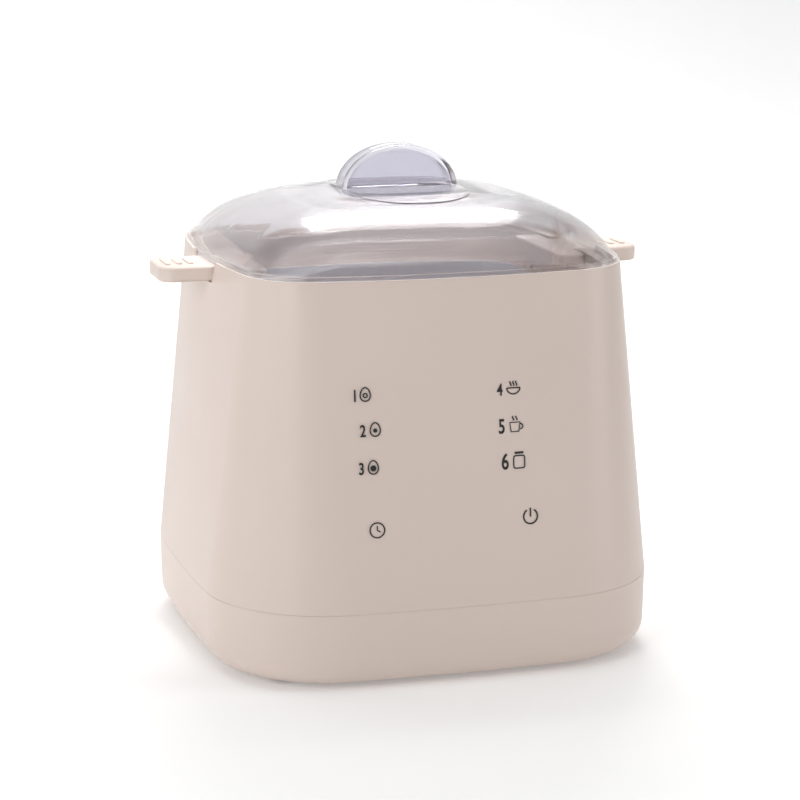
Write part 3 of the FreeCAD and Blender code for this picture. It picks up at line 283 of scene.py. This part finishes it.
# Name, darkest and lightest colour, gloss from and to, and the grain where it isn't the usual
MOULDED = [
    ("silicone", (0.72, 0.71, 0.69), (0.76, 0.75, 0.73), (0.5, 0.6)),
    ("white_ceramic", (0.78, 0.76, 0.72), (0.83, 0.81, 0.77), (0.35, 0.5)),
    ("grey_rubber", (0.10, 0.10, 0.105), (0.13, 0.13, 0.135), (0.6, 0.75), 0.2),
    ("board_laminate", (0.02, 0.11, 0.05), (0.03, 0.14, 0.07), (0.3, 0.4)),
    ("dark_case", (0.015, 0.017, 0.02), (0.025, 0.027, 0.03), (0.3, 0.4)),
    ("core_metal", (0.08, 0.08, 0.09), (0.12, 0.12, 0.13), (0.4, 0.5)),
    ("film_case", (0.60, 0.45, 0.08), (0.64, 0.49, 0.10), (0.3, 0.4)),
    ("inlet_plastic", (0.012, 0.012, 0.013), (0.02, 0.02, 0.022), (0.4, 0.5), 0.15),
    ("pad_rubber", (0.02, 0.02, 0.02), (0.03, 0.03, 0.03), (0.7, 0.8)),
    ("display_glass", (0.008, 0.008, 0.01), (0.012, 0.012, 0.014), (0.08, 0.12)),
]
# Name, colour, gloss from and to, and the lines' stretch and depth where they aren't the usual
METALS = [
    ("pan_steel", (0.92, 0.95, 1.0), (0.48, 0.58), (1.0, 1.0, 24.0)),
    ("rack_steel", (0.66, 0.68, 0.71), (0.2, 0.32), (1.0, 30.0, 1.0)),
    ("cast_aluminium", (0.58, 0.58, 0.60), (0.45, 0.6), (1.0, 1.0, 1.0), 0.4),
    ("tube_steel", (0.22, 0.20, 0.20), (0.4, 0.55)),
    ("zinc_sheet", (0.56, 0.58, 0.60), (0.32, 0.5), (3.0, 3.0, 3.0)),
    ("screw_steel", (0.55, 0.56, 0.58), (0.25, 0.35)),
    ("nickel", (0.70, 0.68, 0.64), (0.15, 0.25)),
    ("probe_brass", (0.70, 0.54, 0.28), (0.25, 0.4)),
    ("can_aluminium", (0.70, 0.71, 0.73), (0.2, 0.3)),
    ("terminal_brass", (0.70, 0.64, 0.52), (0.2, 0.3)),
]
INK = printed_ink()
CREAM = moulded("cream_plastic", (0.625, 0.527, 0.474), (0.643, 0.543, 0.489),
                rough=(0.32, 0.40), grain=0.03, specular=0.35)
MATERIALS = {"cream_plastic": CREAM, "clear_plastic": clear_plastic()}
MATERIALS.update((row[0], moulded(*row)) for row in MOULDED)
MATERIALS.update((row[0], metal(*row)) for row in METALS)
SLOT_OF = {row["node"]: row["material_slot"] for row in frame["record"]["subparts"]}


def dress_nodes():
    """Every CAD node gets the material of its slot."""
    for name, obj in NODES.items():
        obj.data.materials.clear()
        obj.data.materials.append(MATERIALS[SLOT_OF[name]])


def add_piece(name, mesh, material, body):
    """A piece of the scene alone, which rides on a body."""
    mesh.materials.append(material)
    obj = bpy.data.objects.new(name, mesh)
    bpy.context.scene.collection.objects.link(obj)
    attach(obj, body)


# Line of the seam

def steps_between(start, end, count):
    """Angles from start up to, but without, end."""
    return [start + (end - start) * i / count for i in range(count)]


def outline_points(outline, side_steps=24, corner_steps=14):
    """Points round a rounded square with bowed sides, in millimetres."""
    half, side_r, corner_r = outline
    side_x = half - side_r
    reach = side_r - corner_r
    corner = (side_x + math.sqrt(2 * reach ** 2 - side_x ** 2)) / 2
    turn = math.atan2(corner, corner - side_x)
    quarter = [(side_x + side_r * math.cos(a), side_r * math.sin(a))
               for a in steps_between(-turn, turn, side_steps)]
    quarter += [(corner + corner_r * math.cos(a), corner + corner_r * math.sin(a))
                for a in steps_between(turn, math.pi / 2 - turn, corner_steps)]
    points = []
    for _ in range(4):
        points += quarter
        quarter = [(-y, x) for x, y in quarter]
    return points


def make_seam_lip():
    """The tub's lip, which shows as the pale floor of the groove at the seam."""
    outer = Outline(*(size - LIP_DEPTH for size in SEAM))
    inner = Outline(*(size - LIP_DEPTH - LIP_THICK for size in SEAM))
    bm = bmesh.new()
    levels = [(outer, LIP_LOW_Z), (outer, LIP_HIGH_Z), (inner, LIP_HIGH_Z), (inner, LIP_LOW_Z)]
    loops = [[bm.verts.new((x * MM, y * MM, z * MM)) for x, y in outline_points(outline)]
             for outline, z in levels]
    for first, second in zip(loops, loops[1:] + loops[:1]):
        for i in range(len(first)):
            j = (i + 1) % len(first)
            bm.faces.new((first[i], first[j], second[j], second[i]))
    mesh = bpy.data.meshes.new("seam_lip")
    bm.to_mesh(mesh)
    bm.free()
    add_piece("seam_lip", mesh, CREAM, "cooker")


# Labels printed on the front

def shell_outline(z):
    """The housing's outline at a height."""
    share = (z - SEAM_Z) / (RIM_Z - SEAM_Z)
    return Outline(*(low + (high - low) * share for low, high in zip(SEAM, RIM)))


def front_y(x, z):
    """The front wall's outer face."""
    outline = shell_outline(z)
    return -(outline.half - outline.side_r + math.sqrt(outline.side_r ** 2 - x ** 2))


def lay_on_front(mesh, x0, z0):
    """Lays a flat mesh (x, y in millimetres) on the front wall at (x0, z0)."""
    for v in mesh.vertices:
        x, z = x0 + v.co.x, z0 + v.co.y
        v.co = Vector((x * MM, (front_y(x, z) - INK_PROUD) * MM, z * MM))


def add_number(bm, text, height):
    """A printed number, its left end and baseline at the origin; returns its width."""
    curve = bpy.data.curves.new("number_curve", "FONT")
    curve.body = text
    curve.size = height / CAP_SHARE
    curve.offset = height * NUMBER_BOLD
    curve.resolution_u = 6
    holder = bpy.data.objects.new("number_text", curve)
    bpy.context.scene.collection.objects.link(holder)
    bpy.context.view_layer.update()
    mesh = bpy.data.meshes.new_from_object(
        holder.evaluated_get(bpy.context.evaluated_depsgraph_get()))
    bpy.data.objects.remove(holder)
    low = min(v.co.x for v in mesh.vertices)
    for v in mesh.vertices:
        v.co.x = (v.co.x - low) * NUMBER_SQUEEZE
    width = max(v.co.x for v in mesh.vertices)
    bm.from_mesh(mesh)
    bpy.data.meshes.remove(mesh)
    return width


def add_stroke(bm, points, width=LINE, closed=False):
    """A ribbon of even width along a line of points."""
    count = len(points)
    sides = []
    for i, (x, y) in enumerate(points):
        before = points[i - 1] if closed or i else points[i]
        after = points[(i + 1) % count] if closed or i < count - 1 else points[i]
        tx, ty = after[0] - before[0], after[1] - before[1]
        length = math.hypot(tx, ty)
        nx, ny = -ty / length * width / 2, tx / length * width / 2
        sides.append((bm.verts.new((x + nx, y + ny, 0)), bm.verts.new((x - nx, y - ny, 0))))
    following = sides[1:] + sides[:1] if closed else sides[1:]
    for (a, b), (c, d) in zip(sides, following):
        bm.faces.new((b, d, c, a))


def arc(cx, cy, rx, ry, start, end, steps=28):
    """Points on an ellipse's arc; angles in degrees."""
    turns = [math.radians(start + (end - start) * i / steps) for i in range(steps + 1)]
    return [(cx + rx * math.cos(t), cy + ry * math.sin(t)) for t in turns]


def loop(cx, cy, rx, ry, steps=36):
    """Points round a whole ellipse, for a closed stroke."""
    return arc(cx, cy, rx, ry, 0, 360, steps)[:-1]


def add_disc(bm, cx, cy, radius):
    bm.faces.new([bm.verts.new((x, y, 0)) for x, y in loop(cx, cy, radius, radius, 20)])


def egg_points(cx, cy, height, steps=40):
    """An egg's outline, blunt end down."""
    points = []
    for i in range(steps):
        turn = 2 * math.pi * i / steps
        half_width = 0.375 * height * (1 - 0.16 * math.sin(turn))
        points.append((cx + half_width * math.cos(turn), cy + height / 2 * math.sin(turn)))
    return points


def wisp(x, y, swing, rise, steps=20):
    """Points up a wisp of steam that swings once to each side."""
    return [(x + swing * math.sin(2 * math.pi * i / steps), y + rise * i / steps)
            for i in range(steps + 1)]


# Signs: x is the left end and h the height, and all lengths are shares of h

def add_egg(bm, x, h):
    """An egg's outline; returns the middle of its yolk."""
    middle = x + 0.4 * h
    add_stroke(bm, egg_points(middle, h / 2, h), closed=True)
    return middle, 0.42 * h


def soft_egg(bm, x, h):
    add_stroke(bm, loop(*add_egg(bm, x, h), 0.15 * h, 0.15 * h, 24), closed=True)


def warm_egg(bm, x, h):
    add_disc(bm, *add_egg(bm, x, h), 0.16 * h)


def hard_egg(bm, x, h):
    add_disc(bm, *add_egg(bm, x, h), 0.23 * h)


def steamed_bowl(bm, x, h):
    side = arc(x + 0.55 * h, 0.5 * h, 0.52 * h, 0.46 * h, 180, 360)
    add_stroke(bm, side + [(x + 0.03 * h, 0.5 * h)])
    for shift in (0.32, 0.55, 0.78):
        add_stroke(bm, wisp(x + shift * h, 0.64 * h, 0.045 * h, 0.36 * h))


def cup(bm, x, h):
    add_stroke(bm, [(x + 0.08 * h, 0.62 * h), (x + 0.16 * h, 0.05 * h),
                    (x + 0.66 * h, 0.05 * h), (x + 0.74 * h, 0.62 * h)], closed=True)
    add_stroke(bm, arc(x + 0.72 * h, 0.36 * h, 0.2 * h, 0.17 * h, -80, 80))
    for shift in (0.30, 0.52):
        add_stroke(bm, wisp(x + shift * h, 0.74 * h, 0.04 * h, 0.26 * h))


def jar(bm, x, h):
    corners = [(0.18, 0.13, 180), (0.58, 0.13, 270), (0.58, 0.58, 0), (0.18, 0.58, 90)]
    side = []
    for across, up, start in corners:
        side += arc(x + across * h, up * h, 0.12 * h, 0.12 * h, start, start + 90, 6)
    add_stroke(bm, side, closed=True)
    add_stroke(bm, [(x + 0.12 * h, 0.86 * h), (x + 0.64 * h, 0.86 * h)], 1.6 * LINE)


def clock(bm, x, h):
    add_stroke(bm, loop(x + h / 2, h / 2, h / 2, h / 2), closed=True)
    add_stroke(bm, [(x + h / 2, 0.8 * h), (x + h / 2, h / 2), (x + 0.72 * h, 0.37 * h)])


def standby(bm, x, h):
    add_stroke(bm, arc(x + h / 2, h / 2, h / 2, h / 2, -240, 60), BOLD_LINE)
    add_stroke(bm, [(x + h / 2, 0.48 * h), (x + h / 2, 1.08 * h)], BOLD_LINE)


# Name, number, sign beside it, left end, baseline and height in millimetres
LABELS = [("label_1", "1", soft_egg, -40.6, 110.8, 4.4),
          ("label_2", "2", warm_egg, -38.7, 97.6, 4.4),
          ("label_3", "3", hard_egg, -39.5, 83.5, 4.4),
          ("label_4", "4", steamed_bowl, 14.8, 110.1, 4.4),
          ("label_5", "5", cup, 15.2, 95.7, 5.4),
          ("label_6", "6", jar, 16.1, 82.0, 6.0),
          ("label_timer", "", clock, -36.0, 59.5, 5.6),
          ("label_standby", "", standby, 24.5, 60.5, 5.6)]


def make_labels():
    """The number and sign, or the sign alone, beside each touch key."""
    for name, text, sign, x0, z0, height in LABELS:
        bm = bmesh.new()
        start = add_number(bm, text, height) + LABEL_GAP if text else 0.0
        sign(bm, start, height * (SIGN_SHARE if text else 1.0))
        bmesh.ops.triangulate(bm, faces=bm.faces)
        mesh = bpy.data.meshes.new(name)
        bm.to_mesh(mesh)
        bm.free()
        lay_on_front(mesh, x0, z0)
        add_piece(name, mesh, INK, "cooker")


# Stage, light and camera

def make_stage():
    """The pale floor, which sweeps up behind the object."""
    profile = [(FLOOR_FRONT_Y, 0.0), (SWEEP_START_Y, 0.0)]
    for i in range(1, SWEEP_STEPS + 1):
        turn = math.pi / 2 * i / SWEEP_STEPS
        profile.append((SWEEP_START_Y + SWEEP_R * math.sin(turn), SWEEP_R * (1 - math.cos(turn))))
    profile.append((SWEEP_START_Y + SWEEP_R, STAGE_TOP_Z))
    bm = bmesh.new()
    left, right = [[bm.verts.new((x, y, z)) for y, z in profile]
                   for x in (-STAGE_HALF_WIDTH, STAGE_HALF_WIDTH)]
    for i in range(len(profile) - 1):
        bm.faces.new((left[i], left[i + 1], right[i + 1], right[i]))
    mesh = bpy.data.meshes.new("stage")
    bm.to_mesh(mesh)
    bm.free()
    mat, _, shader = new_material("stage")
    shader.inputs["Base Color"].default_value = grey(STAGE_GREY)
    shader.inputs["Roughness"].default_value = 0.7
    shader.inputs["Specular IOR Level"].default_value = 0.2
    shader.inputs["Emission Color"].default_value = grey(1.0)
    shader.inputs["Emission Strength"].default_value = STAGE_GLOW
    mesh.materials.append(mat)
    for polygon in mesh.polygons:
        polygon.use_smooth = True
    floor = bpy.data.objects.new("stage", mesh)
    bpy.context.scene.collection.objects.link(floor)


def area_light(name, place, aim, size, power, spread):
    data = bpy.data.lights.new(name, "AREA")
    data.shape = "RECTANGLE"
    data.size, data.size_y = size
    data.energy = power
    data.spread = math.radians(spread)
    obj = bpy.data.objects.new(name, data)
    bpy.context.scene.collection.objects.link(obj)
    obj.location = place
    direction = Vector(aim) - Vector(place)
    obj.rotation_euler = direction.to_track_quat("-Z", "Y").to_euler()


def make_lights():
    """A dim white world and the studio's lights."""
    world = bpy.data.worlds.new("studio")
    bpy.context.scene.world = world
    world.use_nodes = True
    back = world.node_tree.nodes["Background"]
    back.inputs["Color"].default_value = grey(1.0)
    back.inputs["Strength"].default_value = WORLD_STRENGTH
    for row in LIGHTS:
        area_light(*row)


def make_camera():
    """The camera at the photograph's angle."""
    data = bpy.data.cameras.new("camera")
    data.lens = CAM_FOCAL
    data.sensor_width = CAM_SENSOR
    data.clip_start = 0.05
    data.clip_end = 50.0
    cam = bpy.data.objects.new("camera", data)
    bpy.context.scene.collection.objects.link(cam)
    az, el = math.radians(CAM_AZIMUTH), math.radians(CAM_ELEVATION)
    back = Vector((math.sin(az) * math.cos(el), -math.cos(az) * math.cos(el), math.sin(el)))
    target = Vector(CAM_TARGET) * MM
    cam.location = target + back * CAM_DISTANCE * MM
    cam.rotation_euler = back.to_track_quat("Z", "Y").to_euler()
    bpy.context.scene.camera = cam


bpy.context.scene.view_settings.view_transform = "Standard"
dress_nodes()
make_seam_lip()
make_labels()
make_stage()
make_lights()
make_camera()
